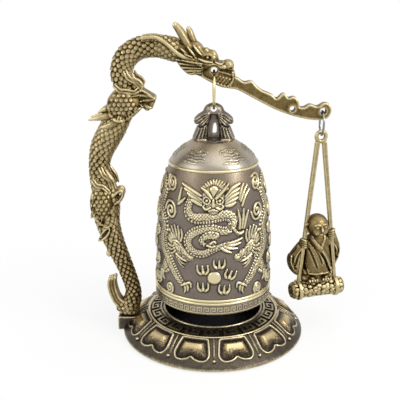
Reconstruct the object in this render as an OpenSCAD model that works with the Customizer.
// Desktop temple bell. A lotus base carries a dragon arm, the bell hangs from the dragon's mouth
// by a ring, and a monk on a swinging log strikes it.
// Millimetres, +Z up, +X towards the striker, origin on the table under the middle of the base.

/* [Bell] */
// Outer radius of the bell's wall at the lip
lip_r = 23.5; // [21:0.1:26]
// Height from the lip to the shoulder bead
bell_h = 56.5; // [45:0.5:60]
// Radius of the bell at its shoulder
shoulder_r = 17.5; // [14:0.1:19.5]
// How late the side turns in towards the shoulder
side_power = 3.8; // [2.5:0.1:6]
// Height of the dome above the shoulder bead
dome_h = 9.1; // [7:0.1:11]
// Height of the rounded knee where the dome leaves the shoulder
dome_knee = 3.2; // [1:0.1:5]
// Thickness of the bell's wall
bell_wall = 2.2; // [1.6:0.1:3.5]
// Height of the fret band at the lip
lip_band_h = 4.6; // [3:0.1:7]
// How far the fret band stands proud of the wall
lip_band_proud = 0.35; // [0.1:0.05:0.8]
// Radius of the raised bead lines on bell and base
bead_r = 0.65; // [0.4:0.05:1]
// Height of the cast relief on the bell's side
relief_h = 0.7; // [0.3:0.1:1]
// Height of the bell's lip above the top of the base
lip_gap = 6.7; // [4:0.1:10]

/* [Crown] */
// Height of the crown from its seat on the dome to its top
crown_h = 14.5; // [12.5:0.1:18]
// Radius of the crown's seat on the dome
seat_r = 8.2; // [7.5:0.1:10]
// Thickness of the crown where the ring passes through it
crown_t = 4; // [3:0.1:5]
// Front to back depth of the crown's foot
crown_foot_d = 11; // [8:0.5:15]
// Radius of the ring's hole in the crown
crown_hole_r = 1.3; // [1.1:0.05:1.6]
// Metal left above the ring's hole in the crown
crown_edge = 1.4; // [1:0.1:2.5]
// Width of the slit between the two beasts
slit_w = 1.4; // [0.8:0.1:2]
// Height of that slit
slit_h = 7; // [4:0.1:7.4]
// Height of the crown's foot plate below the slit
slit_foot = 1.4; // [0.8:0.1:2.4]

/* [Rings] */
// Mean radius of the brass ring that carries the bell
bell_ring_r = 7.3; // [6.6:0.1:8.5]
// Wire radius of the bell's ring
bell_wire_r = 0.5; // [0.35:0.05:0.65]
// Mean radius of the steel ring that carries the striker
striker_ring_r = 4.7; // [4:0.05:5.5]
// Wire radius of the striker's ring
striker_wire_r = 0.45; // [0.3:0.05:0.55]
// Width of the cut where each ring was closed
ring_cut_w = 0.15; // [0.05:0.05:0.3]
// Gap left between each hung piece and what carries it
hang_gap = 0.08; // [0.04:0.01:0.15]

/* [Base] */
// How far the base reaches out past the bell's wall
base_margin = 14.5; // [12:0.1:20]
// Radial length of the petal slope
petal_len = 11; // [9:0.1:13]
// Radial width of the fret band inside the petals
fret_w = 6.8; // [5:0.1:8]
// Height of the base at the bead between petals and fret band
petal_h = 9.2; // [7:0.1:11]
// Rise of the fret band towards the well
fret_rise = 1.4; // [0.6:0.1:2.5]
// Height of the base's plain outer edge
edge_h = 1.4; // [1:0.1:2.5]
// Thickness of the cast base
base_wall = 1.9; // [1.4:0.1:2.4]
// Number of lotus petals round the base
petal_count = 12; // [9:1:15]
// How far each petal swells above the slope
petal_swell = 0.9; // [0.4:0.1:1.4]
// Thickness of the black pad under the base
pad_t = 1.8; // [1.2:0.1:2.4]
// How far the pad stands out below the metal
pad_proud = 0.5; // [0.2:0.1:0.8]

/* [Arm socket] */
// How far the socket's middle lies inside the base's edge
boss_inset = 1.7; // [0:0.1:3]
// Width of the socket block along X
boss_w = 7.8; // [7.4:0.1:10]
// Depth of the socket block along Y
boss_d = 7.6; // [7.4:0.1:10]
// Height of the socket block above the metal's underside
boss_h = 6; // [5.6:0.1:8]
// How far the landing of the dragon's foot reaches in from the socket's middle
landing_in = 5.9; // [5:0.1:6.4]
// Depth of that landing along Y
landing_d = 8.4; // [8:0.1:9]
// Width of the arm's square tenon
tenon_w = 5; // [4.4:0.1:5.6]
// Length of the tenon inside the socket
tenon_len = 2.6; // [2:0.1:3]
// Gap round the tenon and other fixed fits
fit_gap = 0.05; // [0.02:0.01:0.1]

/* [Screw] */
// Radius of the screw's threaded shank
screw_r = 1.25; // [1:0.05:1.4]
// Radius of the screw's pan head
screw_head_r = 2.3; // [2:0.1:2.4]
// Height of the screw's pan head
screw_head_h = 1.4; // [1:0.1:1.6]
// Depth of thread inside the arm
screw_grip = 4.5; // [3:0.5:6]
// Thickness of the washer under the screw's head
washer_t = 0.5; // [0.3:0.1:0.6]

/* [Arm] */
// Radius of the bell's hole in the dragon's mouth
mouth_hole_r = 1.3; // [1.1:0.05:1.5]
// Radius of the flat face round that hole
mouth_face_r = 3.4; // [2.8:0.1:3.8]
// Length of the dragon's head from cheek to nose
head_len = 23.5; // [22.5:0.1:24.5]
// Thickness of the jaw round the bell's hole
jaw_t = 5; // [4:0.1:5.4]
// Thickness of the dragon's skull
skull_t = 9; // [7:0.1:11]
// Width of the dragon's body where it is thickest
body_w = 11.2; // [9.5:0.1:12.5]
// Front to back depth of the dragon's body as a share of its width
body_depth = 0.92; // [0.7:0.01:1.1]
// Width of the arm's plain ankle on the socket
ankle_w = 6.8; // [6:0.1:7.4]
// Height of the ankle
ankle_h = 2.9; // [2:0.1:4]
// Thickness of the fins and claws
fin_t = 4.2; // [3:0.1:6]
// Thickness of the beam
beam_t = 4; // [3:0.1:4.4]
// How far the striker's hole lies below the bell's hole
beam_drop = 15.8; // [12:0.1:18]
// Radius of the striker's hole in the beam
end_hole_r = 1.3; // [1.1:0.05:1.5]
// Radius of the spare hole in the beam
spare_hole_r = 1.1; // [0.8:0.05:1.3]
// Distance of the spare hole from the striker's hole along X
spare_back = 12; // [8:0.1:13.5]
// Height of the spare hole above the striker's hole
spare_up = 0.9; // [0:0.1:1.5]

/* [Striker] */
// Clear distance from the bell's lip to the log at rest
strike_gap = 7.9; // [6:0.1:10]
// Turn of the hanging striker about the vertical
swing_turn = 14; // [0:1:20]
// Lean of the hanging striker away from the bell
swing_lean = 1.2; // [0:0.1:3]
// Height of the log's axis above the bell's lip
log_lift = 1.1; // [0:0.1:3]
// Mean radius of the eye
eye_r = 2; // [1.8:0.05:2.5]
// Radius of the eye's own bar
eye_bar_r = 0.8; // [0.6:0.05:1]
// Width of each bar of the swing
bar_w = 2; // [1.4:0.1:2.4]
// Thickness of each bar of the swing
bar_t = 1.6; // [1.2:0.1:2]
// Distance between the bars at the log
bar_span = 16.2; // [15.4:0.1:18]
// Thickness of the bands round the log
band_t = 0.6; // [0.4:0.1:1]
// Width of the bands round the log
band_w = 2.3; // [1.6:0.1:3]
// Length of the log
log_len = 23.4; // [22:0.1:28]
// Radius of the log
log_r = 3.6; // [3:0.1:4]
// Rounding of the log's ends
log_round = 1.1; // [0.5:0.1:1.5]

/* [Monk] */
// Height of the seated monk above the log
monk_h = 29.6; // [27:0.1:31]
// Radius of the monk's head
head_r = 4.5; // [4:0.1:4.6]
// Radius of the monk's chest
chest_r = 4.4; // [3.6:0.1:4.6]
// Radius of the monk's lap and knees
lap_r = 5.2; // [4.4:0.1:5.4]
// Radius of each sleeve
sleeve_r = 2.3; // [1.6:0.1:2.6]
// Radius of each hand
hand_r = 1.8; // [1.6:0.05:2.1]
// Height of the left hand above the log
left_hand_z = 17.6; // [14:0.1:19]
// Height of the right hand above the log
right_hand_z = 20; // [16:0.1:21]

/* [Hidden] */
$fn = 48;
brass = "#8f7844";
pewter = "#857c78";
dark_brass = "#4a4238";
pale_brass = "#c9b070";
steel = "silver";
// Points along each curved part of an outline
curve_steps = 14;
// Steps of the relief's layer up the bell's side
relief_steps = 8;
// Points between two marks of a drawn path, and sides of a swept tube
path_steps = 3;
tube_sides = 14;
// Sides of the round parts of the figure
figure_fn = 20;
// Length by which a cut passes the face it cuts
over = 1;

// Heights from the base up to the hole that the bell hangs from
base_top = petal_h + fret_rise;
lip_z = base_top + lip_gap;
shoulder_z = lip_z + bell_h;
seat_z = shoulder_z + dome_h;
crown_top = seat_z + crown_h;
crown_hole_top = crown_top - crown_edge;
crown_hole_z = crown_hole_top - crown_hole_r;
bell_ring_in = bell_ring_r - bell_wire_r;
bell_ring_z = crown_hole_top - hang_gap + sqrt(pow(bell_ring_in, 2) - pow(crown_t / 2, 2));
hang_z = bell_ring_z - hang_gap + mouth_hole_r + sqrt(pow(bell_ring_in, 2) - pow(jaw_t / 2, 2));
band_r = lip_r + lip_band_proud;

// The striker hangs so that its log clears the lip by the strike gap
end_z = hang_z - beam_drop;
striker_ring_in = striker_ring_r - striker_wire_r;
striker_ring_z = end_z - end_hole_r + hang_gap - sqrt(pow(striker_ring_in, 2) - pow(beam_t / 2, 2));
eye_z = striker_ring_z - striker_ring_in + hang_gap - eye_r + eye_bar_r;
log_z = lip_z + log_lift;
swing_drop = (eye_z - log_z) / cos(swing_lean);
log_half = log_len / 2 * cos(swing_turn) + log_r * sin(swing_turn);
swing_x = band_r + strike_gap + log_half - swing_drop * sin(swing_lean);
seat_on_log = log_r + fit_gap - swing_drop;

// Base, socket and screw
base_r = lip_r + base_margin;
bead_ring_r = base_r - petal_len;
well_r = bead_ring_r - fret_w;
foot_x = base_r - boss_inset;
boss_top = pad_proud + boss_h;
head_room = 0.3;
counterbore_r = screw_head_r + head_room;
counterbore_h = screw_head_h + washer_t + head_room;
pad_margin = 1.2;
pad_r = foot_x - counterbore_r - pad_margin;
slot_w = 0.7;
slot_h = 0.7;
// Spare depth of the screw's hole past its tip
hole_spare = 0.5;
dome_inner_z = seat_z - bell_wall;

// Marks of the drawing that the arm is stretched from: its foot and the mouth hole, left of the bell's
// axis and above the socket, and the beam's end hole, right of and above the mouth hole
foot_mark = [36, 0];
mouth_mark = [0, 104];
end_mark = [42, -16];
// Marks along the dragon's body from the foot to the neck: left of the axis, above the socket, width
body_marks = [[34.6, 1.1, 7], [33.2, 7, 7.6], [33.5, 12, 6.9], [35.8, 20, 7.1], [38.8, 28, 7.9],
              [41.6, 36, 8.9], [43.2, 43, 10], [43.4, 48, 11.2], [43.1, 53, 10.7], [44.6, 59, 9.6],
              [45.4, 65, 8.6], [44.5, 71, 9.2], [42.9, 75, 10], [39.5, 81, 10.3], [36.2, 88, 10.2],
              [33.2, 93, 9.4], [33.3, 97, 8.9], [35, 101, 9.1], [35.1, 105, 8.9], [33, 109.2, 9.1],
              [28, 112.4, 8.8], [21, 113, 8.8], [14, 111.4, 9.2], [9, 109.4, 7]];
// Marks along the curled tail beside the foot
tail_marks = [[33, 5, 3.4], [36, 3.6, 3.6], [39, 3.4, 3.6], [41.4, 4.6, 3.6], [43, 7, 3.5], [43.3, 11, 3.3],
              [42.4, 14.4, 2.8], [41, 15.8, 1.8]];
// Marks along the two horns, right of and above the mouth hole
long_horn = [[-9.5, 7, 3.6], [-12, 11, 3], [-13.6, 14.6, 2.4], [-15, 17.6, 1.4]];
short_horn = [[-6, 7, 3.2], [-7.4, 11, 2.8], [-8.8, 14, 2.2], [-9.5, 15.6, 1.4]];
// Outlines of skull and jaw, right of and above the mouth hole
skull_marks = [[-16, 8.4], [-11, 11], [-7, 11.4], [-5, 10.4], [-3.6, 8.2], [-1, 7.8], [1.2, 6.2], [1.8, 3.8],
               [3.4, 3], [6, 3.3], [7.5, 2.2], [7.4, 0], [4, 0.2], [-2, 0.6], [-6, -1], [-9, -2], [-12, 0],
               [-14.4, 3.6]];
jaw_marks = [[-6, 2], [2, 2], [7.6, 0], [8, -3], [6.9, -5.7], [4.9, -6.6], [2.6, -6.3], [-2, -4.2],
             [-5, -2.4], [-8, -1]];
// Upper and lower edge of the beam from the jaw to its end
beam_marks = [[4, -6.4], [9, -7.4], [15, -10.6], [23, -14.8], [29, -17.2], [35, -18.8], [40, -19.4],
              [43.6, -18.7], [45, -16], [44.3, -13.6], [42.4, -12.9], [39.8, -14.3], [37, -13.5],
              [34.8, -14.6], [32.8, -14.4], [32.2, -12], [30.6, -10.5], [28.4, -10.9], [26.6, -9.1],
              [24, -11.2], [22, -9.6], [18, -7.8], [15.8, -6], [14.2, -4.3], [11.4, -4.7], [8.4, -2.9],
              [4, -1.6]];
// Outlines of the fins and claws that stand out from the body, left of the axis and above the socket
upper_fin = [[33, 99], [28, 98.4], [24.4, 96], [22.7, 93], [23.6, 89.2], [26, 87.4], [29, 88.4], [33, 90]];
lower_fin = [[42, 58], [36.8, 55.6], [36, 52.8], [37, 50.2], [39.4, 48], [43, 47]];
upper_claw = [[38, 92], [42, 90.4], [44.4, 88.2], [46.2, 86.2], [49, 84], [46, 83.4], [45.2, 81.4],
              [41.4, 82.2], [37, 84]];
lower_claw = [[43, 52], [47, 50.6], [48, 47.4], [49.8, 44.6], [47, 43], [46, 39.6], [47.4, 36.4],
              [47.2, 34.6], [44.4, 35.4], [41, 38]];
heel_nub = [[40, 33], [43, 31.6], [43.6, 29.6], [42.4, 27.6], [39, 28]];
// Marks of the arm, the head and the beam at their real places and widths
body_scale = body_w / max([for (p = body_marks) p[2]]);
head_scale = head_len / (max([for (p = skull_marks) p[0]]) - min([for (p = skull_marks) p[0]]));
function arm_x(x) = -x * foot_x / foot_mark[0];
function arm_z(z) = boss_top + z * (hang_z - boss_top) / mouth_mark[1];
function arm_point(p) = [arm_x(p[0]), arm_z(p[1]), p[2] * body_scale];
function head_point(p) = [p[0] * head_scale, hang_z + p[1] * head_scale];
function beam_point(p) = [p[0] * swing_x / end_mark[0], hang_z - p[1] * beam_drop / end_mark[1]];

// One side of a petal, as shares of its length outwards and of the petals' pitch sideways, and its cleft
petal_marks = [[0.42, -0.13], [0.4, -0.3], [0.22, -0.42], [-0.1, -0.4], [-0.4, -0.3]];
cleft = [0.32, 0];
petal_steps = 2;
// Shares of the petal slope: from its edge to the petals' middle, and half the length of a petal
petal_mid = 0.52;
petal_half = 0.45;
// Relief on each face of the bell, drawn for this lip radius and side height. Its marks lie right of the
// face's middle, round the wall, and above the lip
relief_size = [23.5, 56.5];
// Dragon's body, from the neck to the bend and from the bend to the tail, and its drawn-up leg: with widths
neck_coil = [[-9.1, 46.6, 2.6], [-10.3, 43.6, 3.2], [-10.2, 40.9, 3.8], [-8.2, 39.3, 4], [-5, 39.3, 4.2],
             [-1.3, 39.7, 4.2], [2.3, 40.4, 4.2], [5.2, 40.4, 4.2], [7.2, 38.8, 4], [6.9, 36.6, 3.6]];
tail_coil = [[6.9, 36.6, 3.6], [5.1, 35, 3.4], [2.2, 35, 3.4], [-1.4, 35.9, 3.4], [-5.4, 35.1, 3.4],
             [-8.9, 33.2, 3.4], [-10.6, 30.5, 3.4], [-9.8, 27.5, 3.4], [-7.1, 25.7, 3.2], [-4.1, 25.6, 3],
             [-0.8, 27.2, 2.6], [2.2, 28.5, 2.4], [5.6, 29.7, 2]];
leg_coil = [[0.4, 33, 3.2], [-2, 33.2, 3], [-4.3, 31.8, 2.4], [-5, 30.3, 1.8], [-3.2, 29.2, 1.4],
            [-0.6, 29.5, 1.2]];
left_claw = [[-13.1, 50.1, 0.8], [-14.1, 46.9, 1.3], [-14.8, 43.7, 1]];
// Outlines of the dragon's face, wings, right claws and tail tuft, and one flame about its own middle
face_marks = [[-5, 50.6], [-3.4, 53], [0.2, 54.1], [3.8, 53], [5.6, 51.6], [3.4, 47.4], [3.3, 43.6],
              [1.6, 42.2], [-2.4, 42.2], [-4.1, 43.6], [-4, 47.4]];
left_wing = [[-13.4, 51.8], [-4.9, 48.8], [-4.6, 44], [-9, 45.6], [-10.8, 48]];
right_wing = [[4, 48.4], [7, 51], [10.3, 52.2], [9.4, 48], [8.4, 44.8], [4.4, 43.8]];
upper_talons = [[11.2, 51.9], [14.9, 50], [11, 43.4], [9.9, 45.8]];
lower_talons = [[9, 42.4], [14.2, 42], [12.2, 34.8], [9.6, 34.8]];
tail_tuft = [[4.6, 30.4], [11.5, 31.6], [9.6, 27.2], [6.8, 25.6], [2.6, 27.2]];
flame_marks = [[-2.5, 1.9], [-2.2, -0.8], [-0.9, -2], [0.9, -2], [2.2, -0.8], [2.5, 1.9], [1.1, -0.2],
               [0, 1.8], [-1.1, -0.2]];
// Middles of the flames round the pearl, and the pearl with its radius
flames = [[-4.3, 19], [2, 21.4], [6.3, 16.9], [-4.2, 11.9], [4, 10.9]];
pearl = [0.1, 15.8, 2.7];
// Dragon that rises at each side of a face, and the place that its forms are raised from
riser_from = 20;
riser_coil = [[26.6, 52, 2.6], [23.2, 48.6, 3.8], [24.6, 44.6, 4.2], [26.2, 40.6, 4.4], [24, 37.2, 4.6],
              [22.2, 33.6, 4.8], [23.4, 29.6, 4.8], [22.8, 25, 4.8], [20, 21.4, 4.6], [17.6, 17.8, 4.2],
              [15.2, 14.6, 3.6], [12.8, 12, 2.6]];
riser_head = [[19.5, 34], [16.8, 35], [13.6, 34], [13.2, 30], [12, 27.4], [8.2, 24.4], [8.8, 22.4],
              [12, 21.6], [15.6, 24], [19, 28]];
riser_claw = [[13.4, 13.4], [9.2, 12.6], [8.6, 10.2], [11, 8.2], [13.6, 9.6]];
// Clouds at each side of a face, with their radius
clouds = [[18.4, 51.1, 2.9], [18.8, 40.6, 3.5], [19.4, 8.7, 2.2], [30, 47.7, 2.8], [31.5, 38.2, 3],
          [29, 31, 2.4], [31.8, 25, 2.8], [29, 18.4, 2.6], [27.2, 10.8, 2.6], [33.4, 9.4, 2.2]];
// Front outline of the crown, two beasts back to back under one loop: shares of its seat and its height
crown_marks = [[0.98, 0], [0.88, 0.14], [0.79, 0.27], [0.88, 0.38], [0.93, 0.51], [0.85, 0.62], [0.61, 0.71],
               [0.5, 0.8], [0.44, 0.9], [0.32, 0.97], [0.12, 1]];
// Side outline of the crown: step of its foot, flare below the loop and height of that flare
foot_step = 1;
neck_flare = 1.4;
neck_rise = 2;

// Share of the eye's radius at which each bar leaves it
bar_share = 0.7;
// Shares that place the figure: shoulders along the chest, elbows up to the hands, lap and chest by radius
shoulder_share = 0.7;
elbow_share = 0.6;
lap_share = 0.8;
chest_share = 0.6;
// Small shifts of the figure: elbows out past the bars, shoulders in front of the elbows, lap before chest
elbow_out = 1;
shoulder_in = 0.8;
lap_forward = 0.4;

// Point on a smooth curve through marks a, b, c, d, between b and c
function spline(a, b, c, d, t) =
    0.5 * (2 * b + (c - a) * t + (2 * a - 5 * b + 4 * c - d) * t * t + (3 * b - a - 3 * c + d) * t * t * t);

// Smooth open path through marks
function smooth_path(p, n) = [
    for (i = [0:len(p) - 2]) for (k = [0:n - 1])
        spline(p[max(i - 1, 0)], p[i], p[i + 1], p[min(i + 2, len(p) - 1)], k / n),
    p[len(p) - 1]];

// Smooth closed outline through marks
function smooth_loop(p, n) = let (m = len(p)) [
    for (i = [0:m - 1]) for (k = [0:n - 1])
        spline(p[(i + m - 1) % m], p[i], p[(i + 1) % m], p[(i + 2) % m], k / n)];

// Point on a curve from a to c that leaves and arrives along the lines through b
function bend(a, b, c, t) = pow(1 - t, 2) * a + 2 * t * (1 - t) * b + t * t * c;

// Radius of the bell's wall at share t of the height from lip to shoulder
function side_r(t) = lip_r - (lip_r - shoulder_r) * pow(t, side_power);

// Direction of a path at mark i
function heading(p, i) =
    let (a = p[max(i - 1, 0)], b = p[min(i + 1, len(p) - 1)], d = [b[0] - a[0], b[1] - a[1]]) d / norm(d);

// Outline of a flat band of changing width along a path, and its edge at mark i on the side given by its sign
function band_edge(p, i, side) =
    let (h = heading(p, i), r = side * p[i][2] / 2) [p[i][0] - h[1] * r, p[i][1] + h[0] * r];
function ribbon(p) =
    concat([for (i = [0:len(p) - 1]) band_edge(p, i, 1)], [for (i = [len(p) - 1:-1:0]) band_edge(p, i, -1)]);

// Round tube of changing width along a path in the plane y = 0, squeezed front to back by depth
module tube(path, depth) {
    last = len(path) - 1;
    points = [for (i = [0:last]) let (h = heading(path, i), r = path[i][2] / 2)
        for (k = [0:tube_sides - 1]) let (a = 360 * k / tube_sides)
            [path[i][0] - h[1] * r * cos(a), depth * r * sin(a), path[i][1] + h[0] * r * cos(a)]];
    sides = [for (i = [0:last - 1]) for (k = [0:tube_sides - 1])
        let (a = i * tube_sides + k, b = i * tube_sides + (k + 1) % tube_sides)
            each [[a, b, b + tube_sides], [a, b + tube_sides, a + tube_sides]]];
    start = [for (k = [1:tube_sides]) tube_sides - k];
    end = [for (k = [0:tube_sides - 1]) last * tube_sides + k];
    polyhedron(points = points, faces = concat(sides, [start, end]));
}

// Flat plate standing in the plane y = 0, drawn by an outline of X and Z
module plate(outline, t) {
    rotate([90, 0, 0])
        linear_extrude(t, center = true)
            polygon(outline);
}

// Cylinder lying along Y through the plane y = 0
module cross_bore(x, z, r, length) {
    translate([x, 0, z])
        rotate([90, 0, 0])
            cylinder(r = r, h = length, center = true);
}

// Ring of round wire standing in the plane x = 0, cut where it was closed
module wire_ring(ring_r, wire_r) {
    difference() {
        rotate([0, 90, 0])
            rotate_extrude()
                translate([ring_r, 0])
                    circle(wire_r);
        translate([0, ring_r, 0])
            cube([4 * wire_r, 4 * wire_r, ring_cut_w], center = true);
    }
}

// Pan-head screw pointing up from z = 0, the underside of its slotted head
module pan_screw(length) {
    difference() {
        union() {
            translate([0, 0, -screw_head_h])
                cylinder(r = screw_head_r, h = screw_head_h);
            cylinder(r = screw_r, h = length);
        }
        translate([0, 0, -screw_head_h])
            cube([3 * screw_head_r, slot_w, 2 * slot_h], center = true);
    }
}

// Flat washer standing on z = 0
module flat_washer() {
    difference() {
        cylinder(r = screw_head_r, h = washer_t);
        translate([0, 0, -over])
            cylinder(r = screw_r + fit_gap, h = washer_t + 2 * over);
    }
}

// Places what hangs from the striker's ring: origin at the eye, X along the log
module in_swing() {
    translate([swing_x, 0, eye_z])
        rotate([0, -swing_lean, swing_turn])
            children();
}

// Outline of the base's upper side from edge to well, then back along its underside
module base_section() {
    edge_top = pad_proud + edge_h;
    slope = [for (i = [0:curve_steps])
        bend([base_r, edge_top], [bead_ring_r + petal_len / 3, petal_h - edge_h], [bead_ring_r, petal_h],
             i / curve_steps)];
    inside = [for (p = slope) if (p[0] < pad_r) [p[0] - base_wall / 2, max(p[1] - base_wall, pad_t)]];
    back = [for (i = [len(inside) - 1:-1:0]) inside[i]];
    polygon(concat(
        [[base_r, pad_proud]], slope, [[well_r, base_top], [well_r, base_top - base_wall]], back,
        [[pad_r - base_wall, pad_t], [pad_r + fit_gap, pad_t], [pad_r + fit_gap, pad_proud]]));
}

// One heart-shaped petal, a low pillow lying on the slope with its cleft towards the edge
module petal() {
    mid_r = base_r - petal_len * petal_mid;
    mid_z = (pad_proud + edge_h + petal_h) / 2;
    tilt = atan((petal_h - edge_h - pad_proud) / petal_len);
    pitch = 2 * PI * mid_r / petal_count;
    half = [for (p = petal_marks) [p[0] * petal_len, p[1] * pitch]];
    far_half = [for (i = [len(half) - 1:-1:0]) [half[i][0], -half[i][1]]];
    half_len = petal_len * petal_half;
    pillow_r = (pow(half_len, 2) + pow(petal_swell, 2)) / (2 * petal_swell);
    root = base_wall / 3;
    translate([mid_r, 0, mid_z])
        rotate([0, tilt, 0])
            intersection() {
                translate([0, 0, petal_swell - pillow_r + root])
                    rotate([90, 0, 0])
                        cylinder(r = pillow_r, h = pitch, center = true);
                translate([0, 0, -root])
                    linear_extrude(petal_swell + base_wall)
                        polygon(smooth_loop(concat(half, far_half, [cleft * petal_len]), petal_steps));
            }
}

module lotus_base() {
    color(dark_brass)
    difference() {
        union() {
            rotate_extrude()
                base_section();
            for (r = [bead_ring_r, well_r + bead_r])
                rotate_extrude()
                    translate([r, r == bead_ring_r ? petal_h : base_top])
                        circle(bead_r);
            for (i = [0:petal_count - 1])
                rotate([0, 0, -90 + (i + 0.5) * 360 / petal_count])
                    petal();
            translate([-foot_x - boss_w / 2, -boss_d / 2, pad_proud])
                cube([boss_w, boss_d, boss_h]);
        }
        translate([0, 0, -over])
            cylinder(r = pad_r + fit_gap, h = pad_t + over);
        translate([-base_r - boss_w, -landing_d / 2, boss_top])
            cube([base_r + boss_w - foot_x + landing_in, landing_d, base_top]);
        translate([-foot_x, 0, boss_top - tenon_len / 2])
            cube([tenon_w + 2 * fit_gap, tenon_w + 2 * fit_gap, tenon_len + 2 * fit_gap], center = true);
        translate([-foot_x, 0, -over])
            cylinder(r = screw_r + fit_gap, h = boss_top);
        translate([-foot_x, 0, pad_proud - over])
            cylinder(r = counterbore_r, h = counterbore_h + over);
    }
}

module base_pad() {
    color("#17161a")
    cylinder(r = pad_r, h = pad_t);
}

module arm_screw() {
    color(steel)
    translate([-foot_x, 0, pad_proud + counterbore_h - washer_t])
        pan_screw(washer_t + boss_h - counterbore_h - tenon_len + screw_grip);
}

module arm_washer() {
    color(steel)
    translate([-foot_x, 0, pad_proud + counterbore_h - washer_t])
        flat_washer();
}

// Smooth path of arm marks
function arm_path(marks) = smooth_path([for (p = marks) arm_point(p)], path_steps);
// Smooth path or outline of marks about the mouth hole
function head_path(marks) =
    smooth_path([for (p = marks) concat(head_point(p), p[2] * head_scale)], path_steps);
function head_loop(marks) = smooth_loop([for (p = marks) head_point(p)], path_steps);
function arm_loop(marks) = smooth_loop([for (p = marks) [arm_x(p[0]), arm_z(p[1])]], path_steps);
function beam_loop(marks) = smooth_loop([for (p = marks) beam_point(p)], path_steps);

module dragon_arm() {
    tenon_z = boss_top - tenon_len;
    color(brass)
    difference() {
        union() {
            tube(arm_path(body_marks), body_depth);
            tube(arm_path(tail_marks), 1);
            tube(head_path(long_horn), 1);
            tube(head_path(short_horn), 1);
            plate(head_loop(skull_marks), skull_t);
            plate(head_loop(jaw_marks), jaw_t);
            plate(beam_loop(beam_marks), beam_t);
            for (outline = [upper_fin, lower_fin, upper_claw, lower_claw, heel_nub])
                plate(arm_loop(outline), fin_t);
            translate([-foot_x - ankle_w / 2, -ankle_w / 2, boss_top])
                cube([ankle_w, ankle_w, ankle_h]);
            translate([-foot_x - tenon_w / 2, -tenon_w / 2, tenon_z])
                cube([tenon_w, tenon_w, tenon_len + over]);
        }
        cross_bore(0, hang_z, mouth_hole_r, 2 * skull_t);
        for (side = [-1, 1])
            translate([0, side * jaw_t, 0])
                cross_bore(0, hang_z, mouth_face_r, jaw_t);
        cross_bore(swing_x, end_z, end_hole_r, 2 * beam_t);
        cross_bore(swing_x - spare_back, end_z + spare_up, spare_hole_r, 2 * beam_t);
        translate([-foot_x, 0, tenon_z - over])
            cylinder(r = screw_r + fit_gap, h = screw_grip + hole_spare + over);
    }
}

// Half section of the bell's wall, lip band and dome
module bell_section() {
    wall_side = [for (i = [0:curve_steps]) [side_r(i / curve_steps), lip_z + bell_h * i / curve_steps]];
    dome = [for (i = [1:curve_steps])
        bend([shoulder_r, shoulder_z], [shoulder_r, shoulder_z + dome_knee], [seat_r, seat_z],
             i / curve_steps)];
    inner_shoulder = [shoulder_r - bell_wall, shoulder_z];
    inner_side = [for (i = [0:curve_steps])
        [side_r(1 - i / curve_steps) - bell_wall, shoulder_z - bell_h * i / curve_steps]];
    inner_dome = [for (i = [0:curve_steps - 1])
        bend([seat_r - bell_wall, dome_inner_z], inner_shoulder + [0, dome_knee], inner_shoulder,
             i / curve_steps)];
    polygon(concat(wall_side, dome, [[0, seat_z], [0, dome_inner_z]], inner_dome, inner_side));
}

// Form of the relief drawn by an outline, standing through the wall from a place round the bell
module relief_form(outline, from) {
    turn = from / relief_size[0] * 180 / PI;
    rotate([90, 0, turn])
        linear_extrude(lip_r + over)
            polygon([for (p = outline) let (a = p[0] / relief_size[0] * 180 / PI - turn)
                [lip_r * sin(a), lip_z + p[1] * bell_h / relief_size[1]]]);
}

// Round form of the relief, such as a cloud or the pearl
module relief_disc(p) {
    rotate([90, 0, p[0] / relief_size[0] * 180 / PI])
        translate([0, lip_z + p[1] * bell_h / relief_size[1], 0])
            cylinder(r = p[2], h = lip_r + over);
}

// Forms of the relief on one face of the bell
module relief_face() {
    for (path = [neck_coil, tail_coil, leg_coil, left_claw])
        relief_form(ribbon(path), 0);
    for (outline = [face_marks, left_wing, right_wing, upper_talons, lower_talons, tail_tuft])
        relief_form(outline, 0);
    for (middle = flames)
        relief_form([for (p = flame_marks) p + middle], 0);
    relief_disc(pearl);
    for (side = [0, 1])
        mirror([side, 0, 0]) {
            for (outline = [ribbon(riser_coil), riser_head, riser_claw])
                relief_form(outline, riser_from);
            for (cloud = clouds)
                relief_disc(cloud);
        }
}

// Half section of the layer that the relief stands in, from the middle of the wall to the relief's top
module relief_section() {
    low = (lip_band_h + 2 * bead_r) / bell_h;
    shares = [for (i = [0:relief_steps]) low + (1 - low) * i / relief_steps];
    top = [for (t = shares) [side_r(t) + relief_h, lip_z + bell_h * t]];
    root = [for (i = [relief_steps:-1:0]) [side_r(shares[i]) - bell_wall / 2, lip_z + bell_h * shares[i]]];
    polygon(concat(top, root));
}

module bell_shell() {
    color(pewter)
    union() {
        rotate_extrude()
            bell_section();
        for (turn = [0, 180])
            rotate([0, 0, turn])
                intersection() {
                    rotate_extrude()
                        relief_section();
                    relief_face();
                }
        rotate_extrude()
            translate([lip_r - bell_wall / 2, lip_z])
                square([bell_wall / 2 + lip_band_proud, lip_band_h]);
        for (z = [lip_z + lip_band_h, lip_z + lip_band_h + 2 * bead_r, shoulder_z])
            rotate_extrude()
                translate([side_r((z - lip_z) / bell_h), z])
                    circle(bead_r);
    }
}

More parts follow.
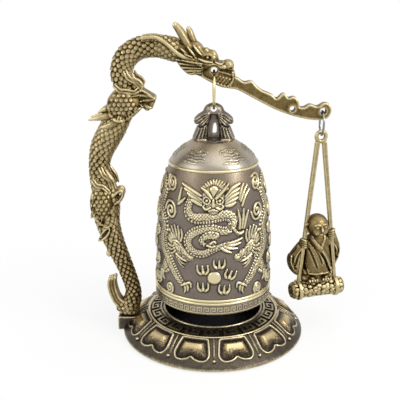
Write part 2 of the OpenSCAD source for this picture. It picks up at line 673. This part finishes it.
module bell_crown() {
    half = [for (p = crown_marks) [p[0] * seat_r, seat_z + crown_h * p[1]]];
    left = [for (i = [len(half) - 1:-1:0]) [-half[i][0], half[i][1]]];
    loop_z = crown_hole_z - crown_hole_r;
    near = [[crown_foot_d / 2, seat_z], [crown_foot_d / 2 - foot_step, seat_z + slit_foot + foot_step],
            [crown_t / 2 + neck_flare, loop_z - neck_rise], [crown_t / 2, loop_z],
            [crown_t / 2, crown_top + over]];
    far = [for (i = [len(near) - 1:-1:0]) [-near[i][0], near[i][1]]];
    color(pewter)
    difference() {
        intersection() {
            plate(concat(half, left), crown_foot_d + over);
            rotate([0, 0, 90])
                plate(concat(near, far), 4 * seat_r);
            translate([0, 0, seat_z])
                cylinder(r = seat_r, h = crown_h + over);
        }
        cross_bore(0, crown_hole_z, crown_hole_r, 2 * crown_foot_d);
        translate([-slit_w / 2, -crown_foot_d, seat_z + slit_foot])
            cube([slit_w, 2 * crown_foot_d, slit_h]);
    }
}

module bell_ring() {
    color(pale_brass)
    translate([0, 0, bell_ring_z])
        wire_ring(bell_ring_r, bell_wire_r);
}

module striker_ring() {
    color(steel)
    translate([swing_x, 0, striker_ring_z])
        wire_ring(striker_ring_r, striker_wire_r);
}

// One bar from the eye down to its band on the log, on the side given by its sign
module swing_bar(side, grow) {
    top = [side * eye_r * bar_share, -eye_r];
    foot = [side * bar_span / 2, log_r + band_t / 2 - swing_drop];
    run = top - foot;
    translate([foot[0], 0, foot[1]])
        rotate([0, atan2(run[0], run[1]), 0])
            translate([-bar_w / 2 - grow, -bar_t / 2 - grow, 0])
                cube([bar_w + 2 * grow, bar_t + 2 * grow, norm(run)]);
}

module swing_frame() {
    color(brass)
    in_swing()
        difference() {
            union() {
                rotate([90, 0, 0])
                    rotate_extrude()
                        translate([eye_r, 0])
                            circle(eye_bar_r);
                for (side = [-1, 1]) {
                    swing_bar(side, 0);
                    translate([side * bar_span / 2, 0, -swing_drop])
                        rotate([0, 90, 0])
                            cylinder(r = log_r + band_t, h = band_w, center = true);
                }
            }
            translate([0, 0, -swing_drop])
                rotate([0, 90, 0])
                    cylinder(r = log_r + fit_gap, h = 2 * log_len, center = true);
        }
}

module striker_log() {
    half = log_len / 2;
    rounded = [for (i = [0:curve_steps]) let (a = 90 * i / curve_steps)
        [log_r - log_round + log_round * cos(a), half - log_round + log_round * sin(a)]];
    lower = [for (i = [curve_steps:-1:0]) [rounded[i][0], -rounded[i][1]]];
    color(brass)
    in_swing()
        translate([0, 0, -swing_drop])
            rotate([0, 90, 0])
                rotate_extrude()
                    polygon(concat([[0, -half]], lower, rounded, [[0, half]]));
}

// Half distance between the bars' middles at a height above the log
function bar_at(z) =
    let (rise = swing_drop - log_r - band_t / 2 - eye_r)
        bar_span / 2 + (eye_r * bar_share - bar_span / 2) * (z - band_t / 2) / rise;

// Sleeve behind the bars and the hand that closes round one of them
module monk_arm(side, hand_z) {
    elbow = [side * (bar_at(hand_z / 2) + elbow_out), bar_t / 2 + sleeve_r + fit_gap, hand_z * elbow_share];
    hull() {
        translate([side * chest_r * shoulder_share, elbow[1] - shoulder_in, monk_h - 2 * head_r - sleeve_r])
            sphere(r = sleeve_r, $fn = figure_fn);
        translate(elbow)
            sphere(r = sleeve_r, $fn = figure_fn);
    }
    hull() {
        translate(elbow)
            sphere(r = sleeve_r, $fn = figure_fn);
        translate([side * bar_at(hand_z), 0, hand_z])
            sphere(r = hand_r, $fn = figure_fn);
    }
}

module monk() {
    color(brass)
    in_swing()
        difference() {
            translate([0, 0, seat_on_log])
                union() {
                    translate([0, 0, monk_h - head_r])
                        sphere(r = head_r);
                    hull() {
                        translate([0, -lap_forward, lap_r * lap_share])
                            sphere(r = lap_r, $fn = figure_fn);
                        translate([0, lap_forward, monk_h - 2 * head_r - chest_r * chest_share])
                            sphere(r = chest_r, $fn = figure_fn);
                    }
                    monk_arm(-1, left_hand_z);
                    monk_arm(1, right_hand_z);
                }
            translate([0, 0, -swing_drop])
                rotate([0, 90, 0])
                    cylinder(r = log_r + fit_gap, h = 2 * log_len, center = true);
            for (side = [-1, 1])
                swing_bar(side, fit_gap);
        }
}

lotus_base();
base_pad();
dragon_arm();
arm_screw();
arm_washer();
bell_shell();
bell_crown();
bell_ring();
striker_ring();
swing_frame();
striker_log();
monk();
